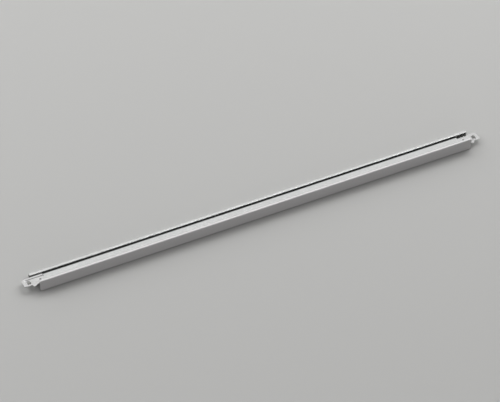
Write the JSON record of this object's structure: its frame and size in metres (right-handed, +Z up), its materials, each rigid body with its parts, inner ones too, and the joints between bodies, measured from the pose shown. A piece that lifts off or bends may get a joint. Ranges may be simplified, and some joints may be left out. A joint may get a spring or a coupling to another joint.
{
  "type": "ceiling grid tee",
  "caption": "Short T-section cross tee for a suspended ceiling: hollow bulb, thin web, painted flange cap and a locking end clip staked to the web at each end.",
  "frame": {"origin": "on the floor, under the middle of the tee as it lies on its side", "axes": "+X along the tee, +Z up, +Y level from the visible flange face towards the bulb. The tee lies on one edge of its flange and on its bulb, so the line from the face to the bulb falls 13.2 degrees below +Y."},
  "size_m": [0.6194, 0.0258, 0.0151],
  "materials": {
    "galvanised_strip": "galvanised, rolled lengthwise",
    "painted_cap": "satin white coil coat",
    "spring_steel": "bright stainless spring strip"
  },
  "bodies": {
    "root": {"tee_body": "galvanised_strip", "face_cap": "painted_cap", "end_clip_left": "spring_steel", "end_clip_right": "spring_steel"}
  },
  "joints": []
}
